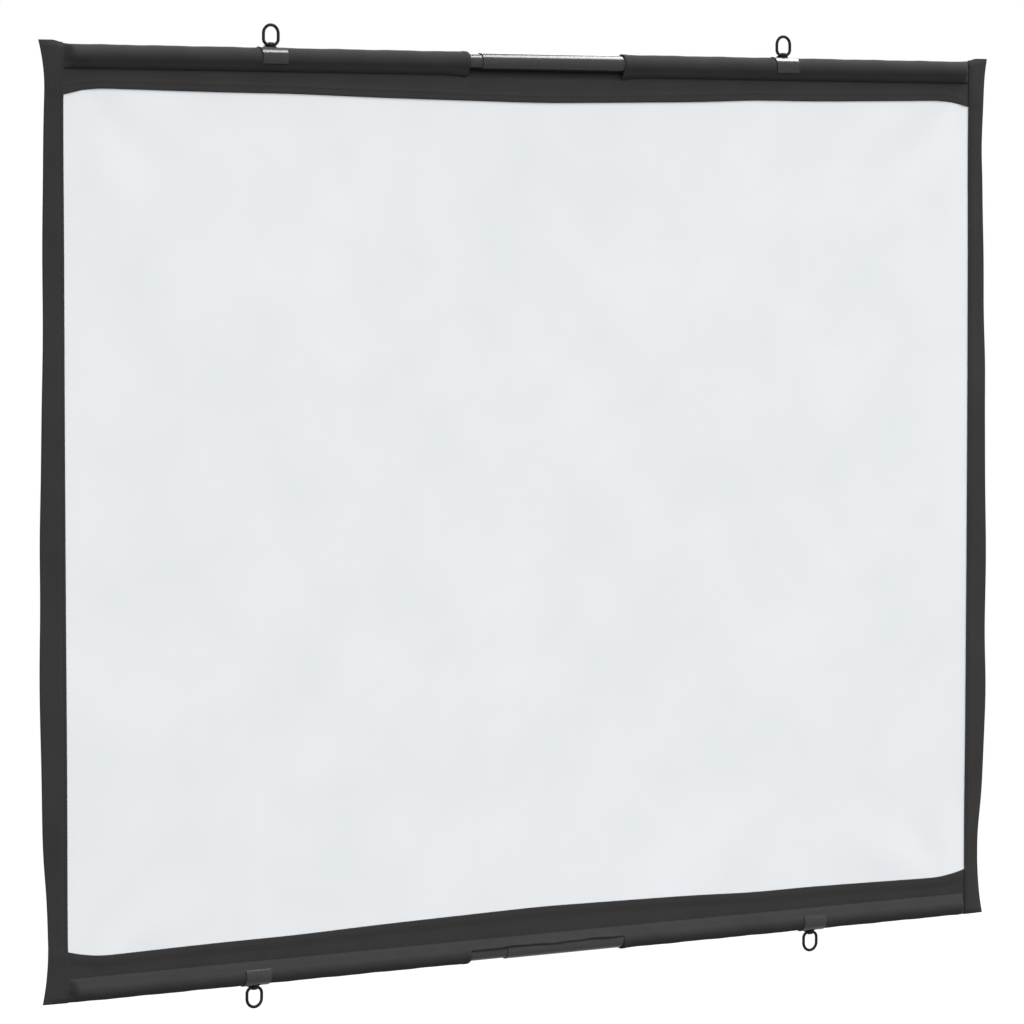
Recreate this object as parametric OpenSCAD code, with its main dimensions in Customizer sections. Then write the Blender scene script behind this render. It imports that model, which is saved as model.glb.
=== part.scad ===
// Wall-mounted projection screen: a white cloth with black bands and side hems,
// spread by two telescopic steel poles in sewn pockets and hung from spring clips with rings.
// Millimetres. X runs to the viewer's right, Y towards the wall and Z up.
// The origin is midway across the screen, at the height where wall hooks carry the upper rings.

/* [Screen] */
// Width of the white cloth between the side hems
view_w = 1016; // [820:1:1400]
// Height from the top pocket's outer line to the bottom pocket's outer line
screen_h = 850; // [500:1:1200]
// Thickness of the white cloth
panel_t = 0.5; // [0.4:0.1:0.8]
// Thickness of the black cloth
band_t = 0.6; // [0.4:0.1:0.8]

/* [Bands] */
// Height of a pole pocket, from its outer line to its seam
pocket_h = 20.9; // [19:0.1:24]
// Clearance between a pole and the cloth round it
pocket_gap = 0.3; // [0.2:0.1:0.5]
// Depth of a band where it is narrowest, from the pocket's outer line to the white
band_depth = 39.2; // [34:0.1:60]
// Extra depth in the middle, where the poles draw the cloth together
band_sag = 7.6; // [0:0.1:15]
// Length over which the middle of the band's edge rounds off
sag_round = 20; // [5:1:60]
// Extra depth at the corners, where the hems hold the cloth back
corner_draw = 6.2; // [0:0.1:12]
// Width over which a corner's extra depth runs out
corner_w = 46; // [20:1:80]
// Length of the cut-out that leaves the pole's joint bare
cutout_w = 174; // [120:1:240]
// Distance of the cut-out's middle from the screen's middle
cutout_x = 2; // [-20:1:20]
// How far behind the pole's axis the cut-out reaches, over the pole
cutout_back = 5; // [2:0.5:6]
// Height over the seam of the front ply that is left below the upper cut-out
top_flap = 1.2; // [0.6:0.1:10]
// Depth under the seam of the front ply that is left above the lower cut-out
bottom_flap = 8.5; // [0.6:0.1:10]
// Length over which a pocket flattens before the hem
pocket_taper = 11; // [8:1:20]

/* [Hems] */
// Width of a side hem where it is narrowest
hem_w = 18.7; // [16:0.1:30]
// Extra width where the slack hem bellies out
hem_swell = 7.2; // [0:0.1:12]
// Height fraction at which a hem starts to belly, the same at both ends
hem_still = 0.06; // [0.02:0.01:0.15]
// Extra width of the hem's flared ends
hem_flare = 5.3; // [0:0.1:10]
// Height over which a flared end runs out
hem_flare_h = 45; // [20:1:80]
// Depth to which the cloth is tucked into a hem
hem_tuck = 12; // [8:0.5:15]
// Rise of a hem's upper corner above the pocket's outer line
ear_h = 3.2; // [1.5:0.1:8]
// Width over which the upper corner rises
ear_run = 11; // [5:0.5:15]
// Rise of the flattened pocket's end inside the hem's upper corner
end_rise = 0.6; // [0.2:0.1:0.8]
// Distance of the flattened pocket's end from the hem's lower edge
end_drop = 0.8; // [0.6:0.1:2]

/* [Poles] */
// Outside diameter of the wide tube
outer_d = 16; // [12:0.5:18]
// Wall of the wide tube
outer_wall = 0.9; // [0.6:0.1:1.5]
// Clearance all round between the two tubes
slide_gap = 0.1; // [0.05:0.01:0.1]
// Wall of the narrow tube
inner_wall = 0.8; // [0.6:0.1:1.2]
// Length of narrow tube inside the wide one when the pole is drawn out
overlap = 80; // [40:1:140]
// Place of the upper pole's joint, from the screen's middle
top_joint_x = -70.5; // [-75:0.5:75]
// Place of the lower pole's joint, from the screen's middle
bottom_joint_x = -43.5; // [-75:0.5:75]
// Bevel round the outside of a tube's cut ends
tube_edge = 0.3; // [0.1:0.1:0.5]
// Clearance between a pole's end and the place where the pocket starts to flatten
end_gap = 0.5; // [0.3:0.1:2]
// Length of an end plug inside its tube
plug_l = 12; // [8:0.5:20]
// Thickness of an end plug's head
plug_head = 1.5; // [1:0.1:3]
// Wall of an end plug's hollow stem
plug_wall = 1.2; // [0.8:0.1:2]
// Clearance between an end plug's stem and its tube
plug_gap = 0.05; // [0.02:0.01:0.1]
// Rounding of an end plug's head
plug_edge = 0.7; // [0.3:0.1:0.9]

/* [Clips] */
// Length of a spring clip along the pole
clip_w = 26.5; // [20:0.5:40]
// Thickness of the clip's spring steel
clip_t = 0.7; // [0.5:0.1:1]
// Clearance between a clip and the pocket's cloth
clip_gap = 0.3; // [0.2:0.1:0.4]
// How far the clip goes on round the pole past its widest place, in degrees
clip_wrap = 46; // [30:1:50]
// Inside radius of the turned-out lips
lip_r = 1; // [0.6:0.1:1.5]
// Turn of the lips, in degrees
lip_turn = 80; // [40:5:100]
// Width of the neck that carries the ring's knuckle
neck_w = 15; // [12:0.5:20]
// Slope of the neck's shoulders, across
neck_slope = 2; // [1:0.5:4]
// How far under the ring's wire the knuckle's roll comes back towards the neck, in degrees
roll_end = 78; // [60:1:100]
// Place of the upper left clip, from the screen's middle
top_left_x = -295; // [-340:1:-200]
// Place of the upper right clip, from the screen's middle
top_right_x = 280; // [200:1:340]
// Place of the lower left clip, from the screen's middle
bottom_left_x = -315.5; // [-340:0.5:-200]
// Place of the lower right clip, from the screen's middle
bottom_right_x = 316; // [200:0.5:340]

/* [Rings] */
// Diameter of the ring's wire
wire_d = 2.3; // [1.8:0.1:3]
// Width of a ring outside
ring_w = 17.8; // [16:0.1:24]
// Height of a ring outside
ring_h = 20; // [18:0.5:30]
// Bend radius of the ring's corners at the knuckle, at the wire's middle
ring_corner = 5.2; // [4:0.1:6]
// Clearance between the wire and the knuckle
knuckle_gap = 0.1; // [0.06:0.01:0.1]
// Gap between the wire and the clip below it
ring_gap = 0.65; // [0.5:0.05:1]
// Gap between the knuckle's ends and the ring's bends
knuckle_end = 0.25; // [0.2:0.05:0.5]

/* [Hidden] */
$fn = 64;

// Overlap of two shapes that are fused, and of a cut past the face that it opens
bite = 0.5;
// Points along the curved edges
edge_steps = 48;
// Steps of the curve along which a pocket flattens
taper_steps = 3;
// Angle by which the clip's band runs on into its lips
lap = 0.5;
// Angle at which the pocket's straight sides leave its round
kink = 3;
// Angle under the ring's axis at which a knuckle's roll leaves the neck
roll_root = 30;
// A length past every edge of the screen, for cuts that run out
past = 2 * screen_h;

half_w = view_w / 2;
web_in = panel_t / 2;
web_out = web_in + band_t;
hem_out = web_out + band_t;

outer_r = outer_d / 2;
outer_bore = outer_r - outer_wall;
inner_r = outer_bore - slide_gap;
inner_bore = inner_r - inner_wall;
pole_end = half_w - pocket_taper - end_gap;

pocket_in = outer_r + pocket_gap;
pocket_r = pocket_in + band_t;
seam_z = pocket_r - pocket_h;
panel_top = seam_z - 2 * band_t;

clip_in = pocket_r + clip_gap;
clip_r = clip_in + clip_t;
wire_r = wire_d / 2;
knuckle_in = wire_r + knuckle_gap;
knuckle_r = knuckle_in + clip_t;
ring_axis = clip_r + ring_gap + wire_r;
ring_half = ring_w / 2 - wire_r;
ring_flat = ring_half - ring_corner;
ring_side = ring_h - wire_d - ring_half;
seat_h = ring_axis - wire_r + ring_h - wire_d;

// Heights of the two poles' axes: the hooks' seats are at zero
top_z = -seat_h;
bottom_z = top_z - (screen_h - 2 * pocket_r);
top_line = top_z + pocket_r;

CLOTH = [0.22, 0.22, 0.23];
WHITE = [0.91, 0.92, 0.93];
STEEL = [0.28, 0.28, 0.29];
WIRE = [0.15, 0.15, 0.16];
PLUG = [0.12, 0.12, 0.12];

function polar(r, a) = [r * cos(a), r * sin(a)];

// Fraction of an edge's length at its point i, with the points closer together at both ends
function along_edge(i) = (1 - cos(180 * i / edge_steps)) / 2;

// Direction from the pole's axis square to the straight side that runs from a circle of radius r to point p
function side_normal(r, p) = atan2(p[1], p[0]) + acos(r * cos(kink) / norm(p));

// Depth of a band at x: a shallow tent between the corners, and a flare into each corner
function tent(x) = 1 - (sqrt(x * x + sag_round * sag_round) - sag_round) / (half_w - corner_w);
function flare(x) = (abs(x) - half_w + corner_w) / corner_w;
function edge_depth(x) = band_depth + band_sag * max(0, tent(x)) + corner_draw * pow(max(0, flare(x)), 2);

// Width of a hem at the fraction t of its height, counted from the top
function belly(t) = sin(180 * pow(min(1, max(0, (t - hem_still) / (1 - 2 * hem_still))), 2));
function flared(d) = pow(max(0, 1 - d / hem_flare_h), 2);
function hem_width(t) = hem_w + hem_swell * belly(t)
    + hem_flare * (flared(t * screen_h) + flared((1 - t) * screen_h));

// A flat shape drawn in Y and Z, run along X about its middle
module along_x(length) {
    rotate([90, 0, 90]) linear_extrude(length, center = true) children();
}

// A flat shape drawn in X and Z, given a thickness along Y about its middle
module along_y(thick) {
    rotate([90, 0, 0]) linear_extrude(thick, center = true) children();
}

module at_top(x = 0) {
    translate([x, 0, top_z]) children();
}

module at_bottom(x = 0) {
    translate([x, 0, bottom_z]) mirror([0, 0, 1]) children();
}

// White cloth, its edges tucked between the bands' plies and into the hems

module white_panel() {
    height = top_z - bottom_z + 2 * panel_top;
    color(WHITE)
        translate([0, 0, (top_z + bottom_z) / 2])
            along_y(panel_t) square([view_w + 2 * hem_tuck, height], center = true);
}

// Black band with its pole pocket, drawn about the pole's axis with the pocket outwards

side_angle = side_normal(pocket_r, [web_out, seam_z]);
void_seam_z = (pocket_in * cos(kink) - web_in * cos(side_angle)) / sin(side_angle);

module pocket_outline(r, half_web, low_z) {
    circle(r);
    polygon([polar(r, side_angle - kink), [half_web, low_z], [-half_web, low_z],
             polar(r, 180 - side_angle + kink), [0, 0]]);
}

// Plan of a pocket: full width, then narrowing in a smooth curve to the thin end in the hem
module pocket_plan(full, thin) {
    side = [for (i = [0:taper_steps]) let (u = i / taper_steps)
        [half_w - pocket_taper * (1 - u), full + (thin - full) * u * u * (3 - 2 * u)]];
    right = concat(side, [for (i = [taper_steps:-1:0]) [side[i][0], -side[i][1]]]);
    polygon(concat(right, -right));
}

// A pocket from hem to hem: its outside or, with the inside sizes, the room in it
module pocket_form(r, web, low) {
    intersection() {
        along_x(view_w) pocket_outline(r, web, low);
        linear_extrude(past, center = true) pocket_plan(r + bite, web);
    }
}

// Both plies of the strip, with the flattened ends that are tucked into the hems
module band_plies(end_top) {
    far = half_w + hem_tuck;
    edge = [for (i = [0:edge_steps]) let (x = view_w * (along_edge(i) - 1 / 2))
        [x, pocket_r - edge_depth(x)]];
    corner_z = pocket_r - edge_depth(half_w);
    along_y(2 * web_out)
        polygon(concat([[-far, corner_z]], edge, [[far, corner_z], [far, end_top], [half_w, end_top],
                [half_w, seam_z], [-half_w, seam_z], [-half_w, end_top], [-far, end_top]]));
}

// The cut-out opens the pocket's front from the flap up, and reaches a little behind the pole's top
module cutout_outline(low) {
    high = pocket_r + bite;
    polygon([[-high, low], [0, low], [0, 0], [cutout_back, 0], [cutout_back, high], [-high, high]]);
}

module band(rise, flap) {
    end_top = pocket_r + rise;
    color(CLOTH)
        difference() {
            union() {
                pocket_form(pocket_r, web_out, seam_z);
                band_plies(end_top);
            }
            pocket_form(pocket_in, web_in, void_seam_z);
            translate([0, 0, void_seam_z - past / 2])
                cube([view_w + 2 * bite, panel_t, past], center = true);
            for (side = [-1, 1])
                translate([side * (half_w + hem_tuck / 2), 0, end_top - band_t - past / 2])
                    cube([hem_tuck + 2 * bite, panel_t, past], center = true);
            translate([cutout_x, 0, 0])
                along_x(cutout_w) cutout_outline(seam_z + flap);
        }
}

module top_band() at_top() band(end_rise, top_flap);
module bottom_band() at_bottom() band(-end_drop, bottom_flap);

// Side hem: a folded binding whose outer edge bellies, drawn for the right side

module hem() {
    low_line = top_line - screen_h;
    corner = edge_depth(half_w);
    outer = [for (i = [0:edge_steps]) let (t = along_edge(i))
        [half_w + hem_width(t), top_line - t * screen_h]];
    ear = [[half_w, top_line + end_rise + band_t], [half_w + ear_run, top_line + ear_h],
           [half_w + hem_width(0), top_line + ear_h]];
    color(CLOTH)
        difference() {
            along_y(2 * hem_out) polygon(concat(ear, outer, [[half_w, low_line]]));
            translate([half_w, 0, (top_z + bottom_z) / 2])
                cube([2 * hem_tuck, panel_t, top_z - bottom_z + 2 * panel_top], center = true);
            translate([half_w - hem_tuck, -web_out, top_line - corner])
                cube([2 * hem_tuck, 2 * web_out, corner + end_rise]);
            translate([half_w - hem_tuck, -web_out, low_line + end_drop])
                cube([2 * hem_tuck, 2 * web_out, corner - end_drop]);
        }
}

module left_hem() mirror([1, 0, 0]) hem();
module right_hem() hem();

// Telescopic poles with plastic end plugs

module tube(x0, x1, r, bore) {
    length = x1 - x0;
    translate([x0, 0, 0])
        rotate([0, 90, 0])
            rotate_extrude()
                polygon([[bore, 0], [r - tube_edge, 0], [r, tube_edge],
                         [r, length - tube_edge], [r - tube_edge, length], [bore, length]]);
}

module outer_pole(joint_x) color(STEEL) tube(joint_x, pole_end - plug_head, outer_r, outer_bore);
module inner_pole(joint_x) color(STEEL) tube(plug_head - pole_end, joint_x + overlap, inner_r, inner_bore);

// End plug for a tube's right-hand end, its head on the tube's rim
module plug(head_r, bore) {
    stem_r = bore - plug_gap;
    color(PLUG)
        translate([pole_end - plug_head, 0, 0])
            rotate([0, 90, 0])
                rotate_extrude() {
                    square([head_r - plug_edge, plug_head]);
                    square([head_r, plug_head - plug_edge]);
                    translate([head_r - plug_edge, plug_head - plug_edge]) circle(plug_edge);
                    translate([stem_r - plug_wall, -plug_l]) square([plug_wall, plug_l + bite]);
                }
}

module top_outer_pole() at_top() outer_pole(top_joint_x);
module top_inner_pole() at_top() inner_pole(top_joint_x);
module bottom_outer_pole() at_bottom() outer_pole(bottom_joint_x);
module bottom_inner_pole() at_bottom() inner_pole(bottom_joint_x);
module top_right_plug() at_top() plug(outer_r, outer_bore);
module top_left_plug() at_top() mirror([1, 0, 0]) plug(inner_r, inner_bore);
module bottom_right_plug() at_bottom() plug(outer_r, outer_bore);
module bottom_left_plug() at_bottom() mirror([1, 0, 0]) plug(inner_r, inner_bore);

// Spring clip: an open band round the pocket, with turned-out lips, a neck and a rolled knuckle

// Wedge-shaped outline from the centre, from one angle to another less than half a turn on
module wedge(r, from, turn) {
    reach = 3 * r;
    polygon([[0, 0], polar(reach, from), polar(reach, from + turn / 2), polar(reach, from + turn)]);
}

module clip_lip() {
    translate(polar(clip_r + lip_r, -clip_wrap))
        intersection() {
            difference() {
                circle(lip_r + clip_t);
                circle(lip_r);
            }
            wedge(lip_r + clip_t, 180 - clip_wrap, lip_turn);
        }
}

module clip_band() {
    mouth = 180 - 2 * (clip_wrap + lap);
    along_x(clip_w) {
        difference() {
            circle(clip_r);
            circle(clip_in);
            wedge(clip_r, -90 - mouth / 2, mouth);
        }
        for (side = [0, 1]) mirror([side, 0]) clip_lip();
    }
}

// Outline of the neck: two sloping shoulders and a tongue up to the ring's foot
module neck_outline(tongue) {
    half = neck_w / 2;
    foot = clip_in + clip_t / 3;
    shoulder = ring_axis - ring_gap;
    bend = clip_r + ring_gap / 2;
    polygon([[-half, foot], [half, foot], [half, bend], [half - neck_slope, shoulder],
             [tongue, shoulder], [tongue, ring_axis], [-tongue, ring_axis], [-tongue, shoulder],
             [neck_slope - half, shoulder], [-half, bend]]);
}

// Section of the rolled knuckle, open between the end of the roll and the neck behind the wire
module knuckle_roll() {
    difference() {
        circle(knuckle_r);
        wedge(knuckle_r, -roll_end, roll_end - roll_root);
    }
}

module clip() {
    knuckle_half = ring_flat - knuckle_end;
    color(STEEL)
        difference() {
            union() {
                clip_band();
                along_x(2 * knuckle_half) translate([0, ring_axis]) knuckle_roll();
                translate([0, knuckle_in + clip_t / 2, 0])
                    along_y(clip_t) neck_outline(knuckle_half);
            }
            along_x(clip_w) translate([0, ring_axis]) circle(knuckle_in);
        }
}

module top_left_clip() at_top(top_left_x) clip();
module top_right_clip() at_top(top_right_x) clip();
module bottom_left_clip() at_bottom(bottom_left_x) clip();
module bottom_right_clip() at_bottom(bottom_right_x) clip();

// Wire ring: a straight foot in the knuckle, two bends, two sides and a round top

module ring_bend(radius, from, turn) {
    rotate([90, 0, 0])
        rotate([0, 0, from])
            rotate_extrude(angle = turn) translate([radius, 0]) circle(wire_r);
}

module ring() {
    color(WIRE)
        translate([0, 0, ring_axis]) {
            rotate([0, 90, 0]) cylinder(h = 2 * ring_flat, r = wire_r, center = true);
            translate([ring_flat, 0, ring_corner]) ring_bend(ring_corner, -90, 90);
            translate([-ring_flat, 0, ring_corner]) ring_bend(ring_corner, 180, 90);
            for (side = [-1, 1])
                translate([side * ring_half, 0, ring_corner])
                    cylinder(h = ring_side - ring_corner, r = wire_r);
            translate([0, 0, ring_side]) ring_bend(ring_half, 0, 180);
        }
}

module top_left_ring() at_top(top_left_x) ring();
module top_right_ring() at_top(top_right_x) ring();
module bottom_left_ring() at_bottom(bottom_left_x) ring();
module bottom_right_ring() at_bottom(bottom_right_x) ring();

white_panel();
top_band();
bottom_band();
left_hem();
right_hem();
top_outer_pole();
top_inner_pole();
bottom_outer_pole();
bottom_inner_pole();
top_right_plug();
top_left_plug();
bottom_right_plug();
bottom_left_plug();
top_left_clip();
top_right_clip();
bottom_left_clip();
bottom_right_clip();
top_left_ring();
top_right_ring();
bottom_left_ring();
bottom_right_ring();
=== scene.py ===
# %% [markdown]
# # A wall-mounted projection screen
#
# The real thing is a white cloth, 1016 mm wide, with a black band sewn on above and below and a black
# hem down each side. Each band holds a telescopic steel pole in a sewn pocket. Spring clips with wire
# rings snap round the pockets, and the upper rings hang on two wall hooks.
#
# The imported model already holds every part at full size. This notebook dresses it: it gives each part
# its finish, makes the cloth parts and the clips anew as finer meshes, and lights the whole.

import math

import bmesh
import bpy
import numpy as np
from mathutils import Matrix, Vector


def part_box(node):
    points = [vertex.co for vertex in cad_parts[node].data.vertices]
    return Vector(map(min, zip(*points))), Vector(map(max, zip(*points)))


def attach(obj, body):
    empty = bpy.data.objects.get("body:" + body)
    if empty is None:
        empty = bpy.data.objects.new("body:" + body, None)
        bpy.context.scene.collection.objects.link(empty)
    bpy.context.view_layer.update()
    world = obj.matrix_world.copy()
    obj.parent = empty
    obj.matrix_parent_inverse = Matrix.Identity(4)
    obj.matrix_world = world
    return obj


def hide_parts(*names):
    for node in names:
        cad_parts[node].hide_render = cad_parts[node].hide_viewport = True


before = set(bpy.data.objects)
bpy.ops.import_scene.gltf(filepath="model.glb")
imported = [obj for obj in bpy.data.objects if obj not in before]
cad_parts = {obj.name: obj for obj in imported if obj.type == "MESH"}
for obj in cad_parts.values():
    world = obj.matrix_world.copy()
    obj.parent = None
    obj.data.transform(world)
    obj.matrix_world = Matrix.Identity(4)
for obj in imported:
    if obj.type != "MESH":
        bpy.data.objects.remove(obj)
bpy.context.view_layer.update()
print("CAD nodes:", len(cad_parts))

# %% [markdown]
# ## Sizes
#
# Shapes below are worked out in millimetres, because that is how cloth and tube are measured, and are
# turned to metres only when a mesh is made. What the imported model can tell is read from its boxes. The
# curves of the cloth's edges can't be read from a box, so their few numbers are repeated here.

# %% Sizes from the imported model
MM = 0.001


def box_mm(node):
    """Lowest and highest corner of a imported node, in millimetres."""
    low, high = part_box(node)
    return np.array(low) / MM, np.array(high) / MM


tube_low, tube_high = box_mm("top_outer_pole")
low_tube_low, low_tube_high = box_mm("bottom_outer_pole")
band_low, band_high = box_mm("top_band")
panel_low, panel_high = box_mm("white_panel")
TOP_Z = (tube_low[2] + tube_high[2]) / 2
BOTTOM_Z = (low_tube_low[2] + low_tube_high[2]) / 2
POCKET_R = (band_high[1] - band_low[1]) / 2
# The white cloth is tucked this far into each hem, which no box tells.
TUCK = 12.0
HALF_W = panel_high[0] - TUCK
TOP_LINE = TOP_Z + POCKET_R
LOW_LINE = BOTTOM_Z - POCKET_R
SCREEN_H = TOP_LINE - LOW_LINE
print(f"poles at {TOP_Z:.2f} and {BOTTOM_Z:.2f} mm, white cloth {2 * HALF_W:.0f} mm wide")

# %% Sizes of the cloth parts, in millimetres
# Thickness of the black and of the white cloth.
CLOTH_T = 0.6
PANEL_T = 0.5
# Height of a pocket down to its seam. A band is deeper in the middle and again into its corners.
POCKET_H = 20.9
BAND_DEPTH, BAND_SAG, SAG_ROUND = 39.2, 7.6, 20.0
CORNER_DRAW, CORNER_W = 6.2, 46.0
# The cut-out's two ends, and how far behind the pole's axis it reaches over the pole.
CUT_LOW, CUT_HIGH = -85.0, 89.0
CUT_BACK = 5.0
# A hem's width, its belly, the share of the height at each end that has none, and its flared ends.
HEM_W, HEM_SWELL, HEM_STILL = 18.7, 7.2, 0.06
HEM_FLARE, HEM_FLARE_H = 5.3, 45.0
EAR_H, EAR_RUN = 3.2, 11.0
# Height of a seam over the pole's axis, and how far a flat ply's middle stands off the screen's plane.
SEAM_H = POCKET_R - POCKET_H
WEB_Y = (PANEL_T + CLOTH_T) / 2


def edge_depth(x):
    """Depth of a band at x: a shallow tent between the corners, and a flare into each corner."""
    tent = 1 - (np.hypot(x, SAG_ROUND) - SAG_ROUND) / (HALF_W - CORNER_W)
    flare = np.clip((np.abs(x) - HALF_W + CORNER_W) / CORNER_W, 0, 1)
    return BAND_DEPTH + BAND_SAG * np.maximum(0, tent) + CORNER_DRAW * flare**2


def hem_width(t):
    """Width of a hem at the fraction t of the screen's height, counted from the top."""
    t = np.clip(t, 0, 1)
    still = np.clip((t - HEM_STILL) / (1 - 2 * HEM_STILL), 0, 1)
    near = [np.maximum(0, 1 - d * SCREEN_H / HEM_FLARE_H) ** 2 for d in (t, 1 - t)]
    return HEM_W + HEM_SWELL * np.sin(np.pi * still**2) + HEM_FLARE * (near[0] + near[1])


print(f"band {edge_depth(0.0):.1f} mm deep in the middle, hem {hem_width(0.7):.1f} mm wide low down")

# %% [markdown]
# ## Camera
#
# The photo is taken from the left with a long lens: its verticals stay upright, and the near end of the
# screen is only about an eighth taller than the far end. The place, the direction and the lens are those
# that fit best to four points: where the white cloth's side edges, drawn on, meet the outer lines of the
# two pockets.

# %% Camera
# The place, the lens and the sensor are in millimetres, the angles in degrees.
CAMERA_AT = (-2613.2, -3896.6, -162.1)
CAMERA_YAW, CAMERA_PITCH = 33.50, 3.50
LENS, SENSOR_W = 175.8, 36.0


def new_object(name, data):
    """An object in the scene with that camera, lamp or mesh."""
    made = bpy.data.objects.new(name, data)
    bpy.context.scene.collection.objects.link(made)
    return made


camera = new_object("camera", bpy.data.cameras.new("camera"))
camera.location = Vector(CAMERA_AT) * MM
camera.rotation_euler = (math.radians(90 - CAMERA_PITCH), 0, math.radians(-CAMERA_YAW))
camera.data.lens = LENS
camera.data.sensor_width = SENSOR_W
bpy.context.scene.camera = camera
print("camera", [round(c, 3) for c in camera.location], "lens", LENS)

# %% [markdown]
# ## Materials: helpers
#
# Every finish is a small tree of nodes. One function adds a node with its settings and its links, and
# one turns a colour that a person can read, such as #3A3A3B, into the linear numbers that light uses.

# %% Material helpers


def linear(code):
    """A linear colour from an sRGB hex code."""
    parts = [int(code[i : i + 2], 16) / 255 for i in (1, 3, 5)]
    return [c / 12.92 if c <= 0.04045 else ((c + 0.055) / 1.055) ** 2.4 for c in parts] + [1.0]


def add(tree, kind, links=None, **settings):
    """Adds a node. links gives its input sockets, from other sockets or as values."""
    node = tree.nodes.new("ShaderNode" + kind)
    for key, value in settings.items():
        setattr(node, key, value)
    for socket, source in (links or {}).items():
        if isinstance(source, bpy.types.NodeSocket):
            tree.links.new(source, node.inputs[socket])
        else:
            node.inputs[socket].default_value = source
    return node


def new_material(name, viewport):
    """An empty material and its tree."""
    made = bpy.data.materials.new(name)
    made.use_nodes = True
    made.diffuse_color = linear(viewport)
    made.node_tree.nodes.clear()
    return made, made.node_tree


def shades(tree, factor, dark, light, low=0.3, high=0.7):
    """Runs from one colour to another as factor goes from low to high."""
    ramp = add(tree, "ValToRGB", {"Fac": factor})
    for stop, place, code in zip(ramp.color_ramp.elements, (low, high), (dark, light)):
        stop.position = place
        stop.color = linear(code)
    return ramp.outputs["Color"]


# %% [markdown]
# ## Woven cloth
#
# Both cloths are plain weave: each thread goes over one thread and under the next. Real threads here are
# about 0.25 mm apart, which is four threads to a pixel and would only flicker, so the weave is drawn at a
# coarser pitch that just shows. Its coordinates are millimetres along the cloth, stored on the mesh, so
# that the weave follows the cloth round the pole.

# %% Weave
CLOTH_MAP = "cloth_mm"


def weave(tree, pitch):
    """Height of a plain weave with threads that far apart in millimetres, and its coordinates."""
    across = add(tree, "Attribute", attribute_name=CLOTH_MAP).outputs["Vector"]
    parts = add(tree, "SeparateXYZ", {"Vector": across})
    waves = []
    for axis in ("X", "Y"):
        turn = add(tree, "Math", {0: parts.outputs[axis], 1: math.pi / pitch}, operation="MULTIPLY")
        waves.append(add(tree, "Math", {0: turn.outputs[0]}, operation="SINE").outputs[0])
    over = add(tree, "Math", {0: waves[0], 1: waves[1]}, operation="MULTIPLY")
    return over.outputs[0], across


# %% [markdown]
# The white cloth is a matt projection fabric: woven polyester with a flat white coat that scatters light
# evenly, so it has no highlight at all. What gives it away as cloth is only a faint unevenness.

# %% White projection cloth
def matt_projection_polyester():
    made, tree = new_material("matt_projection_polyester", "#E8EBEE")
    thread, across = weave(tree, 2.0)
    cloud = add(tree, "TexNoise", {"Vector": across, "Scale": 0.011, "Detail": 2.0, "Roughness": 0.5})
    colour = shades(tree, cloud.outputs["Fac"], "#E5E9EC", "#EAEDF0")
    bump = add(tree, "Bump", {"Height": thread, "Strength": 0.05, "Distance": 0.0002})
    cloth = add(tree, "BsdfPrincipled", {
        "Base Color": colour, "Normal": bump.outputs["Normal"],
        "Roughness": 0.92, "Specular IOR Level": 0.12, "Sheen Weight": 0.03, "Sheen Roughness": 0.5,
    })
    add(tree, "OutputMaterial", {"Surface": cloth.outputs[0]})
    return made


# %% [markdown]
# The black cloth is dyed plain-woven polyester. It is not quite black: its fibres catch some light, more
# so where they stand up, which is what the sheen gives. Fine fuzz breaks up the colour.

# %% Black polyester
def dyed_polyester(name, dark, light, pitch, strength):
    made, tree = new_material(name, light)
    thread, across = weave(tree, pitch)
    fuzz = add(tree, "TexNoise", {"Vector": across, "Scale": 0.9, "Detail": 3.0, "Roughness": 0.6})
    cloud = add(tree, "TexNoise", {"Vector": across, "Scale": 0.02, "Detail": 2.0, "Roughness": 0.5})
    both = add(tree, "Math", {0: fuzz.outputs["Fac"], 1: cloud.outputs["Fac"]}, operation="ADD")
    half = add(tree, "Math", {0: both.outputs[0], 1: 0.5}, operation="MULTIPLY")
    colour = shades(tree, half.outputs[0], dark, light)
    high = add(tree, "Math", {0: thread, 1: fuzz.outputs["Fac"]}, operation="ADD")
    bump = add(tree, "Bump", {"Height": high.outputs[0], "Strength": strength, "Distance": 0.0004})
    cloth = add(tree, "BsdfPrincipled", {
        "Base Color": colour, "Normal": bump.outputs["Normal"],
        "Roughness": 0.8, "Specular IOR Level": 0.08, "Sheen Weight": 0.015, "Sheen Roughness": 0.5,
    })
    add(tree, "OutputMaterial", {"Surface": cloth.outputs[0]})
    return made


# %% [markdown]
# The poles are steel tube with baked semi-gloss black paint. Paint is a smooth clear film over black
# pigment, so it mirrors the lamps softly in a bright line along the tube and stays near black elsewhere.
# Sliding leaves hairline marks along the tube, which is why one noise is stretched lengthwise. The clips
# have a lacquer much like it, and the rings' wire a duller and darker one.

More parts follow.
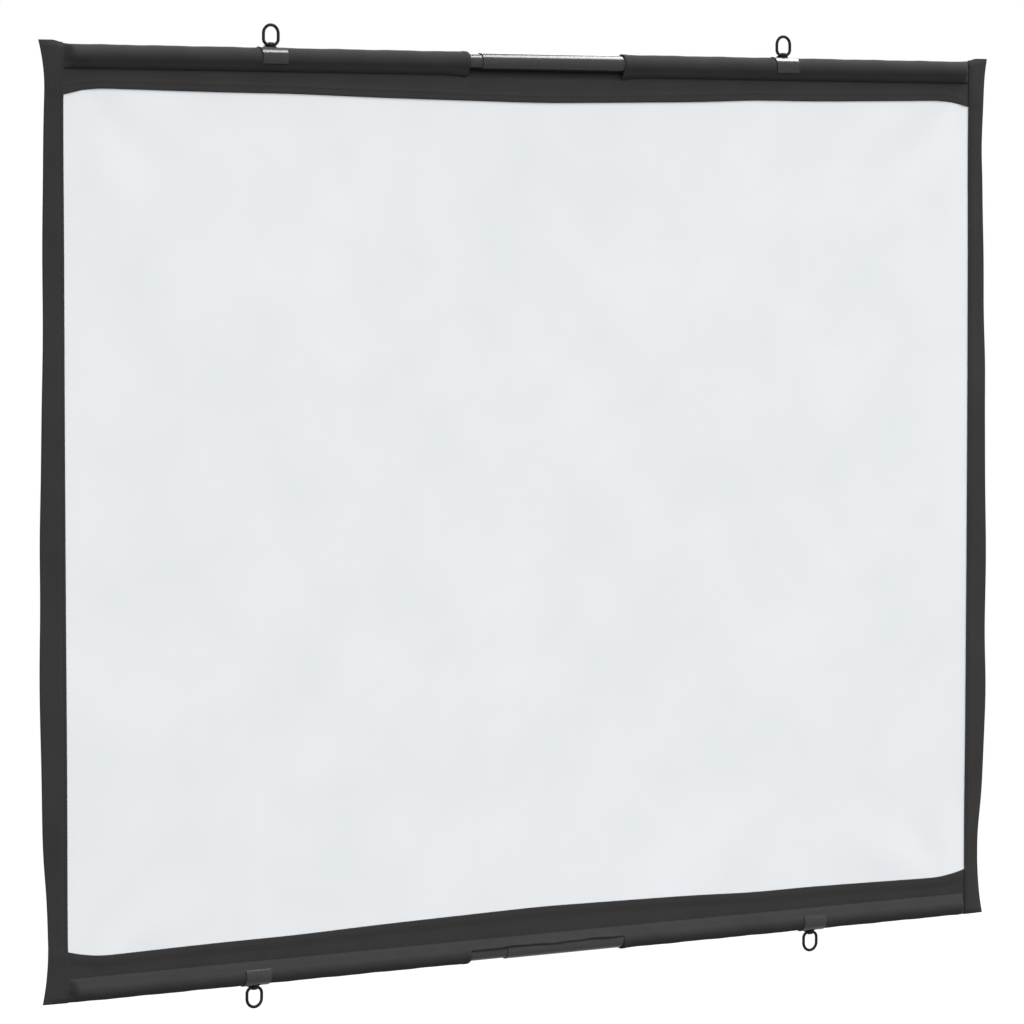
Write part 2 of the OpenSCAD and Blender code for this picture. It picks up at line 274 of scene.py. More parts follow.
# %% Painted steel
def painted_steel(name, dark, light, roughness, marks, gloss):
    made, tree = new_material(name, light)
    place = add(tree, "TexCoord").outputs["Object"]
    along = add(tree, "Mapping", {"Vector": place, "Scale": (25.0, 1800.0, 1800.0)}).outputs["Vector"]
    hair = add(tree, "TexNoise", {"Vector": along, "Scale": 1.0, "Detail": 2.0, "Roughness": 0.5})
    peel = add(tree, "TexNoise", {"Vector": place, "Scale": 260.0, "Detail": 2.0, "Roughness": 0.5})
    colour = shades(tree, peel.outputs["Fac"], dark, light)
    uneven = add(tree, "Math", {0: hair.outputs["Fac"], 1: marks, 2: roughness - marks / 2},
                 operation="MULTIPLY_ADD")
    bump = add(tree, "Bump", {"Height": peel.outputs["Fac"], "Strength": 0.003, "Distance": 0.0003})
    paint = add(tree, "BsdfPrincipled", {
        "Base Color": colour, "Roughness": uneven.outputs[0], "Normal": bump.outputs["Normal"],
        "IOR": 1.5, "Specular IOR Level": gloss,
    })
    add(tree, "OutputMaterial", {"Surface": paint.outputs[0]})
    return made


# %% [markdown]
# End plugs are injection-moulded polyethylene: slightly waxy, with a soft broad highlight.

# %% Moulded polyethylene
def moulded_polyethylene():
    made, tree = new_material("moulded_polyethylene", "#1C1C1D")
    place = add(tree, "TexCoord").outputs["Object"]
    spark = add(tree, "TexNoise", {"Vector": place, "Scale": 1500.0, "Detail": 2.0, "Roughness": 0.5})
    colour = shades(tree, spark.outputs["Fac"], "#19191A", "#202021")
    bump = add(tree, "Bump", {"Height": spark.outputs["Fac"], "Strength": 0.1, "Distance": 0.0002})
    plastic = add(tree, "BsdfPrincipled", {
        "Base Color": colour, "Normal": bump.outputs["Normal"], "Roughness": 0.45, "IOR": 1.51,
    })
    add(tree, "OutputMaterial", {"Surface": plastic.outputs[0]})
    return made


white_cloth = matt_projection_polyester()
black_cloth = dyed_polyester("dyed_polyester", "#313132", "#373738", 1.4, 0.12)
black_thread = dyed_polyester("polyester_sewing_thread", "#1E1E1F", "#2A2A2B", 0.5, 0.3)
tube_paint = painted_steel("baked_paint_on_steel_tube", "#39393B", "#3D3D3E", 0.13, 0.02, 0.17)
clip_paint = painted_steel("lacquered_spring_steel", "#353536", "#3B3B3C", 0.14, 0.02, 0.2)
ring_paint = painted_steel("lacquered_wire", "#202021", "#272728", 0.45, 0.06, 0.06)
plug_plastic = moulded_polyethylene()
print("materials:", [m.name for m in bpy.data.materials])

# %% [markdown]
# ## Cloth meshes: helpers
#
# A piece of cloth is a grid of points. One function turns such a grid into a mesh, stores how far along
# and across the cloth each point lies, and gives it the cloth's thickness. Quads that a cut-out takes
# away are simply not made.

# %% Mesh helpers


def mesh_piece(name, points, faces, material, mapped, body="screen"):
    """A mesh object from points in millimetres, riding on a body."""
    mesh = bpy.data.meshes.new(name)
    mesh.from_pydata((np.asarray(points) * MM).tolist(), [], faces)
    mesh.polygons.foreach_set("use_smooth", [True] * len(mesh.polygons))
    store = mesh.attributes.new(CLOTH_MAP, "FLOAT_VECTOR", "POINT")
    store.data.foreach_set("vector", np.asarray(mapped, np.float32).ravel())
    mesh.materials.append(material)
    piece = new_object(name, mesh)
    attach(piece, body)
    return piece


def cloth_piece(name, grid, mapped, material, thick, gone=None):
    """A sheet of cloth through a grid of points, with its thickness. gone marks quads left away."""
    rows, columns = grid.shape[:2]
    first = (np.arange(rows - 1)[:, None] * columns + np.arange(columns - 1)).ravel()
    faces = np.stack([first, first + columns, first + columns + 1, first + 1], axis=1)
    if gone is not None:
        faces = faces[~gone.ravel()]
    piece = mesh_piece(name, grid.reshape(-1, 3), faces.tolist(), material, mapped.reshape(-1, 3))
    if gone is not None:
        drop_loose_points(piece.data)
    solid = piece.modifiers.new("thickness", "SOLIDIFY")
    solid.thickness = thick * MM
    solid.offset = 0.0
    return piece


def drop_loose_points(mesh):
    work = bmesh.new()
    work.from_mesh(mesh)
    bmesh.ops.delete(work, geom=[v for v in work.verts if not v.link_faces], context="VERTS")
    work.to_mesh(mesh)
    work.free()


def smooth(t):
    """Goes from 0 to 1 with no corners as t goes from 0 to 1."""
    t = np.clip(t, 0, 1)
    return t * t * (3 - 2 * t)


def hump(t, middle, width):
    """One soft hump of height 1."""
    return np.exp(-(((t - middle) / width) ** 2))


def stations(stops, steps):
    """Places from stop to stop, about one step apart in each stretch."""
    parts = []
    for start, end, step in zip(stops, stops[1:], steps):
        count = max(1, round((end - start) / step))
        parts.append(np.linspace(start, end, count + 1)[:-1])
    return np.concatenate([*parts, [stops[-1]]])


# %% [markdown]
# ## How the whole screen hangs
#
# The cloths are sewn into one sheet, so they drape together: a shallow swell across the middle, and soft
# folds that run into each corner, where the pole's end pulls. The side hems curl and wave a little more,
# and each has its own swells and hollows in width. One function gives that drape at any place, and every
# cloth piece adds it to its own shape, so that no ply comes through another.

# %% Width and wave of a side hem
# Each swell has its place below the top line, its reach and the width that it adds, in millimetres.
LEFT_SWELLS = ((30, 42, -1.6), (490, 50, -1.7), (625, 55, -1.1), (760, 38, -2.3))
RIGHT_SWELLS = (
    (36, 22, 1.2), (88, 25, -1.4), (210, 60, 0.9), (295, 45, 2.6), (620, 36, 1.0), (770, 32, -3.2),
)
# Each wave has its height, its period, and its lead in radians on the right, or lag on the left.
HEM_WAVES = ((0.9, 310, 1.1), (0.5, 143, 2.2))
# The hem's outer fold curls back by this much. Its waves come in over this run from each end.
HEM_CURL = 1.1
WAVE_RUN = 90


def side_width(side, t):
    """Width of one hem at the fraction t of the height, with its own swells and hollows."""
    down = np.clip(t, 0, 1) * SCREEN_H
    swells = RIGHT_SWELLS if side > 0 else LEFT_SWELLS
    return hem_width(t) + sum(amount * hump(down, middle, reach) for middle, reach, amount in swells)


def side_lift(side, x, z):
    """How far one hem curls and waves off the common drape, in millimetres towards the wall."""
    share = np.maximum(0, side * x - HALF_W) / side_width(side, (TOP_LINE - z) / SCREEN_H)
    slack = smooth((TOP_LINE - z) / WAVE_RUN) * smooth((z - LOW_LINE) / WAVE_RUN)
    turn = 2 * np.pi * z
    wave = sum(high * np.sin(turn / period + lead * side) for high, period, lead in HEM_WAVES)
    return HEM_CURL * share**2 + slack * wave * share


print("right hem", round(float(side_width(1, 0.5)), 1), "mm wide half way down")

# %% Common drape
# The swell comes in over this share of the height from each pole. Each of its waves has a height, a
# shift, a slant and a period.
SWELL_SHARE = 0.22
SWELL_WAVES = ((0.9, 130, 0.0, 760), (0.5, 0, 0.5, 415))
# Folds fan out from each corner: their height, how many lie in a full turn, the distance from the corner
# where they are highest, and their reach. They begin a little clear of the pole.
FAN_HIGH, FAN_FOLDS = 0.45, 9
FAN_AWAY, FAN_REACH = 95, 60
FAN_CLEAR, FAN_BEGIN = 40, 0.3
# Least distance inside a corner, so that the angle round it never turns past upright.
TINY = 1e-6


def drape(x, z):
    """How far the cloth stands from its plane at x and z, in millimetres towards the wall."""
    down = np.clip((TOP_Z - z) / (TOP_Z - BOTTOM_Z), 0, 1)
    loose = smooth(np.minimum(down, 1 - down) / SWELL_SHARE)
    swell = 0.0
    for high, shift, slant, period in SWELL_WAVES:
        swell = swell + high * np.sin(2 * np.pi * (x + shift - slant * z) / period)
    pulls = 0.0
    for side in (-1, 1):
        for level, low in ((TOP_Z, 1), (BOTTOM_Z, -1)):
            away_x = HALF_W - side * x
            away_z = (level - z) * low
            turn = np.arctan2(away_z, np.maximum(away_x, TINY))
            near = hump(np.hypot(away_x, away_z), FAN_AWAY, FAN_REACH)
            pulls = pulls + FAN_HIGH * np.sin(FAN_FOLDS * turn) * near
    clear = smooth(np.minimum(TOP_Z - z, z - BOTTOM_Z) / FAN_CLEAR - FAN_BEGIN)
    return loose * swell + clear * pulls + side_lift(-1, x, z) + side_lift(1, x, z)


print("drape in the middle:", round(float(drape(np.array(0.0), np.array(-440.0))), 2), "mm")

# %% [markdown]
# ## White cloth
#
# The sheet is cut 12 mm larger than what shows at each side, where it is tucked into the hems, and it
# runs between the plies of the bands nearly as far as the pocket's seam. The upper seam hangs slack, so
# the sheet ends a little lower there.

# %% White cloth
PANEL_STEP, TUCK_STEP = 8.0, 3.0
UNDER_SEAM = 3.4


def white_sheet():
    x = stations([panel_low[0], -HALF_W, HALF_W, panel_high[0]], [TUCK_STEP, PANEL_STEP, TUCK_STEP])
    z = stations([panel_low[2], panel_high[2] - UNDER_SEAM], [PANEL_STEP])
    xs, zs = np.meshgrid(x, z, indexing="ij")
    grid = np.stack([xs, drape(xs, zs), zs], axis=-1)
    mapped = np.stack([xs, zs, np.zeros_like(xs)], axis=-1)
    return cloth_piece("white_cloth", grid, mapped, white_cloth, PANEL_T)


panel = white_sheet()
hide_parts("white_panel")
print("white cloth", len(panel.data.polygons), "faces")

# %% [markdown]
# ## Bands with their pole pockets
#
# A band is one strip of cloth, folded over the pole: up the front, round the pole and down the back, and
# sewn through below the pole to close the pocket. Its edges are turned in and stitched. The section is a
# line of points that is carried along the pole. Towards the hems the round pocket is pressed flat, and at
# the cut-out a window is left away. A cloth simulation would lose the thin turned edges and the seam, so
# the folds are modelled directly.

# %% Section of a pocket
# From the angle LEAVE the cloth runs to its seam. It bags out a little, and less so towards the pole.
BAG, BAG_FADE = 1.2, 0.5
POCKET_MID = POCKET_R - CLOTH_T / 2
LEAVE = math.atan2(SEAM_H, WEB_Y) + math.acos(POCKET_MID / math.hypot(WEB_Y, SEAM_H))
TOUCH_Y, TOUCH_H = POCKET_MID * math.cos(LEAVE), POCKET_MID * math.sin(LEAVE)
SIDE_L = math.hypot(TOUCH_Y - WEB_Y, TOUCH_H - SEAM_H)
POCKET_L = 2 * SIDE_L + 2 * POCKET_MID * (math.pi / 2 - LEAVE)


def pocket_profile(p):
    """Point of a pocket's section at the length p from its front seam: y, and height over the axis."""
    near = np.minimum(p, POCKET_L - p)
    share = np.clip(near / SIDE_L, 0, 1)
    turn = LEAVE + np.maximum(0, near - SIDE_L) / POCKET_MID
    bag = BAG * np.sin(np.pi * share) * (1 - BAG_FADE * share)
    side_y = WEB_Y + (TOUCH_Y - WEB_Y) * share + bag * math.cos(LEAVE)
    side_h = SEAM_H + (TOUCH_H - SEAM_H) * share + bag * math.sin(LEAVE)
    y = np.where(near < SIDE_L, side_y, POCKET_MID * np.cos(turn))
    h = np.where(near < SIDE_L, side_h, POCKET_MID * np.sin(turn))
    return np.where(p < POCKET_L / 2, -y, y), h


def along_pocket(h):
    """Length from the front seam to the height h on the pocket's front."""
    if h < TOUCH_H:
        return (h - SEAM_H) / (TOUCH_H - SEAM_H) * SIDE_L
    return SIDE_L + (math.asin(h / POCKET_MID) - LEAVE) * POCKET_MID


BACK_CUT = POCKET_L - along_pocket(math.sqrt(POCKET_MID**2 - CUT_BACK**2))
print(f"pocket {POCKET_L:.1f} mm round, leaves the pole at {math.degrees(LEAVE):.1f} degrees")

# %% [markdown]
# The turned-in edge of a band is a second ply, 7 mm wide. It stands out as a low step on each face, with
# a row of stitches near its end. A small table gives the way of the cloth there: distance from the edge,
# and how far it stands off the inner face.

# %% Turned edge
TURN_IN = 7.0
EDGE_FOLD = np.array([
    [TURN_IN, 0.0], [5.0, 0.0], [2.0, 0.0], [0.5, 0.0], [0.12, 0.1], [0.0, 0.31], [0.12, 0.52],
    [0.5, 0.62], [1.2, 0.64], [2.6, 0.62], [4.4, 0.6], [5.3, 0.56], [5.9, 0.5], [6.5, 0.54],
    [7.4, 0.48], [8.6, 0.3], [9.8, 0.12], [11.2, 0.02],
])
# The row of stitches: its distance from the edge, and how far the step stands out there.
EDGE_STITCH, EDGE_STITCH_OFF = 5.9, 0.5
# Places of the points between the turned-in edge and the seam, as shares of the way.
WEB_SHARES = np.array([0.12, 0.3, 0.5, 0.68, 0.82, 0.9, 0.96])
print("turned edge:", len(EDGE_FOLD), "points across")

# %% [markdown]
# Sewn cloth is never quite even. The clips draw a band's edge up, the seam presses the plies together and
# puckers them, each corner creases, and the cloth left in front of the lower cut-out ripples. Each of
# these is a small wave or hump.

# %% Unevenness of a flat ply, in millimetres
# Where the clips draw the edge up: place along the band, reach and height.
CLIP_PULLS = ((-270, 60, 0.8), (245, 50, 1.2))
# A slack seam hangs lowest round the cut-out: from this far outside it, and over this run.
DROP_MARGIN, DROP_RUN = 30, 40
# The seam's press: its depth, its fade, and how it varies along the seam with a period.
SEAM_PRESS, PRESS_FADE = 0.24, 1.6
PRESS_VARIES, PRESS_PERIOD = 0.35, 19
# The puckers: height and period, how far they stray and over what length, fade, and start.
PUCKER_HIGH, PUCKER_PERIOD = 0.12, 14
PUCKER_STRAY, STRAY_LENGTH = 1.3, 37
PUCKER_FADE, PUCKER_START = 5, 2
# The crease in each corner: height, place along the band, slant and width.
CREASE_HIGH, CREASE_X, CREASE_SLANT, CREASE_W = 0.55, 482, 0.35, 6
# Inside a hem the plies lie close: the run over which they close, and the share that closes.
TUCKED_RUN, TUCKED_SHARE = 6, 0.8

# %% Unevenness of a pocket, in millimetres
# The cut-out's turned-in rim: height, width and run-out, the share of height at its edge, and rounding.
RIM_HIGH, RIM_W, RIM_RUN = 0.38, 4.6, 1.4
RIM_EDGE, RIM_ROUND = 0.4, 0.7
# Waves of the whole pocket: height, period and slant. They come in over this run from the seam.
POCKET_WAVES = ((0.13, 61, 0.2), (0.08, 27, -0.3))
FREE_RUN = 6
# The cloth left in front comes loose over this run from the cut-out's ends. It stands out in one wave,
# and its edge goes up and down in two: height, period and lead.
FLAP_RUN = 12
FLAP_OUT, FLAP_PERIOD = 0.5, 57
FLAP_WAVES = ((0.6, 83, 0.7), (0.3, 31, 0.0))
# The drop of a slack seam fades up the pocket's side with this power.
DROP_POWER = 1.5
# Towards a hem the pocket is pressed flat over this run, and pleats by this height, in so many folds.
FLATTEN = 8.5
PLEAT_HIGH, PLEAT_FOLDS = 0.4, 2.5

# %% Point of a band


class Band:
    """One band, in millimetres. level is the pole's height in the room, and up is 1 when the pocket is on
    top and -1 below. rise lifts the flattened ends of the pocket. cut_h is the height over the pole's
    axis where the cut-out begins in front, and ripple is how far the cloth left there waves. The seam
    hangs down by slack, and by sag more at the cut-out. short is how much shallower the band is."""

    def __init__(self, level, up, rise, cut_h, ripple, slack, sag, short):
        self.level, self.up, self.rise, self.ripple = level, up, rise, ripple
        self.front_cut = along_pocket(cut_h)
        self.slack, self.sag, self.short = slack, sag, short

    def depth(self, x):
        """Depth of this band at x. Under the clips the cloth is drawn up a little."""
        deep = edge_depth(x) - self.short
        for middle, reach, high in CLIP_PULLS:
            deep = deep - high * hump(x, middle, reach)
        return deep

    def seam_drop(self, x):
        """How far the slack pocket lets its seam hang away from the pole at x, more at the cut-out."""
        left = smooth((x - CUT_LOW + DROP_MARGIN) / DROP_RUN)
        right = smooth((CUT_HIGH + DROP_MARGIN - x) / DROP_RUN)
        return self.slack + self.sag * (left * right)

    def place(self, x, y, h):
        """Adds the drape and turns heights over the pole's axis to heights in the room."""
        z = self.level + self.up * h
        return np.stack([x, y + drape(x, z), z], axis=-1)

    def web(self, x, d, off, face):
        """A point of a flat ply, at the distance d from the band's edge."""
        width = self.depth(x) - POCKET_H
        below = width - d
        h = SEAM_H - below - self.seam_drop(x) * d / width
        press = SEAM_PRESS * np.exp(-below / PRESS_FADE)
        press = press * (1 + PRESS_VARIES * np.sin(2 * np.pi * x / PRESS_PERIOD))
        turn = 2 * np.pi * x / PUCKER_PERIOD + PUCKER_STRAY * np.sin(x / STRAY_LENGTH)
        pucker = PUCKER_HIGH * np.sin(turn) * np.exp(-below / PUCKER_FADE) * smooth(below / PUCKER_START)
        crease = 0.0
        for side in (-1, 1):
            near = hump(side * x, CREASE_X + CREASE_SLANT * below, CREASE_W)
            crease = crease + CREASE_HIGH * near * smooth(below / CREASE_W)
        tucked = smooth((np.abs(x) - HALF_W + TUCKED_RUN) / TUCKED_RUN)
        stand = WEB_Y - press + (off + pucker) * (1 - TUCKED_SHARE * tucked)
        return self.place(x, face * stand + crease * (1 - tucked), h)

    def window_gap(self, x, p):
        """Distance from the cut-out, outside it."""
        across = np.maximum(0, np.maximum(CUT_LOW - x, x - CUT_HIGH))
        along = np.maximum(0, np.maximum(self.front_cut - p, p - BACK_CUT))
        return np.hypot(across, along)

    def pocket(self, x, p):
        """A point of the pocket, at the length p from its front seam."""
        y, h = pocket_profile(p)
        near = np.minimum(p, POCKET_L - p)
        turn = 2 * np.pi * x
        gap = self.window_gap(x, p)
        edge = RIM_EDGE + (1 - RIM_EDGE) * smooth(gap / RIM_ROUND)
        rim = RIM_HIGH * (1 - smooth((gap - RIM_W) / RIM_RUN)) * edge
        wave = sum(high * np.sin(turn / period + slant * p) for high, period, slant in POCKET_WAVES)
        free = smooth(near / FREE_RUN)
        inside = smooth((x - CUT_LOW) / FLAP_RUN) * smooth((CUT_HIGH - x) / FLAP_RUN)
        flap = inside * smooth(p / self.front_cut) * (p <= self.front_cut)
        ripple = self.ripple * flap * (1 + FLAP_OUT * np.sin(turn / FLAP_PERIOD))
        away = (rim + wave * free + ripple) / POCKET_MID
        flutter = sum(high * np.sin(turn / period + lead) for high, period, lead in FLAP_WAVES)
        h = h + self.ripple * flap * flutter
        y, h = y * (1 + away), h * (1 + away * (h > TOUCH_H))
        flat = smooth((np.abs(x) - HALF_W + FLATTEN) / FLATTEN)
        share = near / (POCKET_L / 2)
        h = h - self.seam_drop(x) * np.clip(1 - near / SIDE_L, 0, 1) ** DROP_POWER
        end_h = SEAM_H + (POCKET_MID + self.rise - SEAM_H) * share - self.seam_drop(x) * (1 - share)
        pleat = PLEAT_HIGH * np.sin(2 * np.pi * PLEAT_FOLDS * share) * 4 * flat * (1 - flat)
        face = np.where(p < POCKET_L / 2, -1, 1)
        y = y * (1 - flat) + face * WEB_Y * flat + face * pleat
        return self.place(x, y, h * (1 - flat) + end_h * flat)


top = Band(level=TOP_Z, up=1, rise=0.6, cut_h=-12.4, ripple=0.0, slack=0.9, sag=2.2, short=0.85)
bottom = Band(level=BOTTOM_Z, up=-1, rise=0.0, cut_h=-3.5, ripple=0.9, slack=0.0, sag=0.0, short=0.0)
print(f"the cut-outs begin {top.front_cut:.1f} and {bottom.front_cut:.1f} mm from the front seam")

# %% [markdown]
# The grid of a band has one row for each station along the pole. Stations stand close together at the
# cut-out's edges and at the ends, where the shape changes quickly. Each point also needs its place on the
# cloth as it was cut, for the weave and for the strip's flat size.

# %% Grid of a band, in millimetres
BAND_END = HALF_W + TUCK
# The spacing of the stations changes this far inside the hems, and twice outside the cut-out.
END_RUN, CUT_FAR, CUT_NEAR = 34, 7, 1
BAND_STOPS = [
    -BAND_END, -HALF_W, -HALF_W + END_RUN, CUT_LOW - CUT_FAR, CUT_LOW - CUT_NEAR, CUT_LOW,
    CUT_HIGH, CUT_HIGH + CUT_NEAR, CUT_HIGH + CUT_FAR, HALF_W - END_RUN, HALF_W, BAND_END,
]
BAND_STEPS = [4, 1.2, 3.4, 0.8, 0.25, 3, 0.25, 0.8, 3.4, 1.2, 4]
# Spacing round the pocket: up to the cut-out, over the pole in two halves, and down the back.
POCKET_STEPS = [1.3, 1.7, 1.7, 1.7]


def web_points(width):
    """Distances from the edge of the points across a flat ply, for each width, and how far each stands
    off the inner face."""
    last = EDGE_FOLD[-1, 0]
    edge = np.broadcast_to(EDGE_FOLD[:, 0], (len(width), len(EDGE_FOLD)))
    d = np.concatenate([edge, last + (width[:, None] - last) * WEB_SHARES], axis=1)
    off = np.concatenate([EDGE_FOLD[:, 1], np.zeros(len(WEB_SHARES))])
    return d, off


def strip_length(d, width, p):
    """How far along the folded strip each point lies, counted from its middle over the pole."""
    last = EDGE_FOLD[-1, 0]
    step = np.diff(EDGE_FOLD, axis=0)
    run = np.concatenate([[0], np.cumsum(np.hypot(step[:, 0], step[:, 1]))])
    edge_run = np.broadcast_to(run - run[-1], (len(d), len(run)))
    web_run = np.concatenate([edge_run, d[:, len(run):] - last], axis=1)
    web_run = web_run - (width[:, None] - last) - POCKET_L / 2
    pocket_run = np.broadcast_to(p - POCKET_L / 2, (len(d), len(p)))
    return np.concatenate([web_run, pocket_run, -web_run[:, ::-1]], axis=1)


def cut_out(band, x, p, first, columns):
    """Marks the quads that the cut-out takes away. The pocket's points start at the column first."""
    mid_x = (x[1:] + x[:-1]) / 2
    mid_p = np.full(columns - 1, -1.0)
    mid_p[first : first + len(p) - 1] = (p[1:] + p[:-1]) / 2
    across = (mid_x > CUT_LOW) & (mid_x < CUT_HIGH)
    return across[:, None] & (mid_p > band.front_cut) & (mid_p < BACK_CUT)


# %% Build a band


def band_cloth(name, band):
    x = stations(BAND_STOPS, BAND_STEPS)
    p = stations([0, band.front_cut, POCKET_L / 2, BACK_CUT, POCKET_L], POCKET_STEPS)
    xs, ps = np.meshgrid(x, p, indexing="ij")
    width = band.depth(x) - POCKET_H
    d, off = web_points(width)
    xw = np.broadcast_to(x[:, None], d.shape)
    front_web = band.web(xw, d, off, -1)
    rear_web = band.web(xw, d, off, 1)[:, ::-1]
    grid = np.concatenate([front_web, band.pocket(xs, ps), rear_web], axis=1)
    length = strip_length(d, width, p)
    mapped = np.stack([np.broadcast_to(x[:, None], length.shape), length, 0 * length], axis=-1)
    gone = cut_out(band, x, p, d.shape[1], grid.shape[1])
    piece = cloth_piece(name, grid, mapped, black_cloth, CLOTH_T, gone)
    cut_to = (2 * BAND_END * MM, float(length.max() - length.min()) * MM)
    print(name, grid.shape[:2], "cut to", [round(c, 3) for c in cut_to])
    return piece, cut_to


for name, band, node, poles in (
    ("top_band_cloth", top, "top_band", ["top_outer_pole", "top_inner_pole"]),
    ("bottom_band_cloth", bottom, "bottom_band", ["bottom_outer_pole", "bottom_inner_pole"]),
):
    piece, cut_to = band_cloth(name, band)
    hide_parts(node)

# %% [markdown]
# ## Side hems
#
# Each hem is a binding: a long strip folded in half round the cloth's edge, with its own edges turned in.
# Its outer fold is free and slack, so it bellies out and waves a little. At the top it stands up beside
# the pocket in a small ear.

# %% Point of a hem, sizes in millimetres
FOLD_R = 0.62
# Places of the points between the turned-in edge and the outer fold, as shares of the way.
HEM_SHARES = np.array([0.1, 0.25, 0.45, 0.65, 0.8, 0.92])
# The row of stitches: its distance from the edge, and how far the turned-in edge stands out there.
HEM_STITCH, HEM_STITCH_OFF = 2.6, 0.62
EAR_FOOT = 1.2
# Where a hem lies over a band it stands off further: by how much, how far in from an end, and its run.
OVER_BAND, OVER_BAND_H, OVER_RUN = 0.72, 44, 5
BELLY = 0.3
# The plies begin to close on each other this far outside the white cloth's edge.
PAST_TUCK = 0.5
# At each end the hem is sewn shut over this run: where its plies lie there, the share of the turned
# edge's height that is left, and the share of the outer fold's roundness that is pressed out.
SHUT_RUN, SHUT_Y, SHUT_OFF, SHUT_FOLD = 5, 0.33, 0.2, 0.45


class Hem:
    """One side hem, on the right where side is 1. A point is given by its distance d from the inner edge
    and the fraction t of the height, counted from the top."""

    def __init__(self, side):
        self.side = side

    def width(self, t):
        return side_width(self.side, t)

    def place(self, d, y, t):
        """Adds the ear and the drape."""
        high = TOP_LINE + EAR_FOOT + (EAR_H - EAR_FOOT) * smooth(d / EAR_RUN)
        z = high + (LOW_LINE - high) * t
        x = self.side * (HALF_W + d)
        return np.stack([x, y + drape(x, z), z], axis=-1)

    def ply(self, d, off, t, face):
        """A point of the front ply, where face is -1, or of the rear one."""
        width = self.width(t)
        near_end = np.minimum(t, 1 - t) * SCREEN_H
        over_band = 1 - smooth((near_end - OVER_BAND_H) / OVER_RUN)
        body = WEB_Y + OVER_BAND * over_band + off + BELLY * np.sin(np.pi * d / width)
        close = smooth((d - TUCK - PAST_TUCK) / (width - FOLD_R - TUCK - PAST_TUCK))
        shut = 1 - smooth(near_end / SHUT_RUN)
        stand = (body * (1 - close) + FOLD_R * close) * (1 - shut) + (SHUT_Y + SHUT_OFF * off) * shut
        return self.place(d, face * stand, t)

    def fold(self, turn, t):
        """A point of the outer fold, turn radians from its middle."""
        shut = 1 - smooth(np.minimum(t, 1 - t) * SCREEN_H / SHUT_RUN)
        d = self.width(t) - FOLD_R + FOLD_R * np.cos(turn)
        return self.place(d, FOLD_R * np.sin(turn) * (1 - SHUT_FOLD * shut), t)


# %% Build a hem
# Where the spacing of the rows changes and the spacing there, as fractions of the screen's height, and
# the number of points round the outer fold.
HEM_STOPS = [0, 0.012, 0.08, 0.92, 0.988, 1]
HEM_STEPS = [0.0015, 0.0035, 0.007, 0.0035, 0.0015]
FOLD_POINTS = 9


def hem_cloth(name, hem):
    t = stations(HEM_STOPS, HEM_STEPS)[:, None]
    last = EDGE_FOLD[-1, 0]
    edge = np.broadcast_to(EDGE_FOLD[:, 0], (len(t), len(EDGE_FOLD)))
    d = np.concatenate([edge, last + (hem.width(t) - last - FOLD_R) * HEM_SHARES], axis=1)
    off = np.concatenate([EDGE_FOLD[:, 1], np.zeros(len(HEM_SHARES))])
    turn = np.radians(np.linspace(-90, 90, FOLD_POINTS))
    front = hem.ply(d, off, t, -1)
    rear = hem.ply(d, off, t, 1)[:, ::-1]
    grid = np.concatenate([front, hem.fold(turn, t), rear], axis=1)
    step = np.linalg.norm(np.diff(grid, axis=1), axis=-1)
    length = np.concatenate([0 * t, np.cumsum(step, axis=1)], axis=1)
    length = length - length[:, -1:] / 2
    mapped = np.stack([length, grid[:, :, 2], 0 * length], axis=-1)
    if hem.side < 0:
        grid, mapped = grid[::-1], mapped[::-1]
    piece = cloth_piece(name, grid, mapped, black_cloth, CLOTH_T)
    cut_to = (2 * float(length.max(axis=1).mean()) * MM, float(np.ptp(grid[:, :, 2])) * MM)
    print(name, grid.shape[:2], "cut to", [round(c, 3) for c in cut_to])
    return piece, cut_to


hems = {"left_hem": Hem(-1), "right_hem": Hem(1)}
for node, hem in hems.items():
    piece, cut_to = hem_cloth(node + "_cloth", hem)
    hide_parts(node)

# %% [markdown]
# ## Stitching
#
# A lockstitch shows as a row of short raised lines with small gaps. Each one is modelled as a spindle of
# thread, because a drawn line would vanish from the side. Rows run along the bands' edges, the hems' inner
# edges and the pockets' seams, in front and behind.

# %% Stitches, in millimetres
STITCH_L, STITCH_GAP, THREAD_R = 3.0, 1.0, 0.21
# The thread's middle lies this far over the cloth's surface.
THREAD_OVER = 0.05
STITCH_LIFT = CLOTH_T / 2 + THREAD_OVER
# A spindle's sides, and its rings: place along the stitch and share of the thread's radius.
SPINDLE_SIDES = 5
SPINDLE_RINGS = ((-0.42, 0.75), (0.0, 1.0), (0.42, 0.75))
# Any direction that no row runs in, from which the spindle's sides are counted.
OFF_ROW = (0.2, -1.0, 0.3)
# The rows stop this far short of the cloth's ends.
BAND_ROW_END, HEM_ROW_END = 3, 6


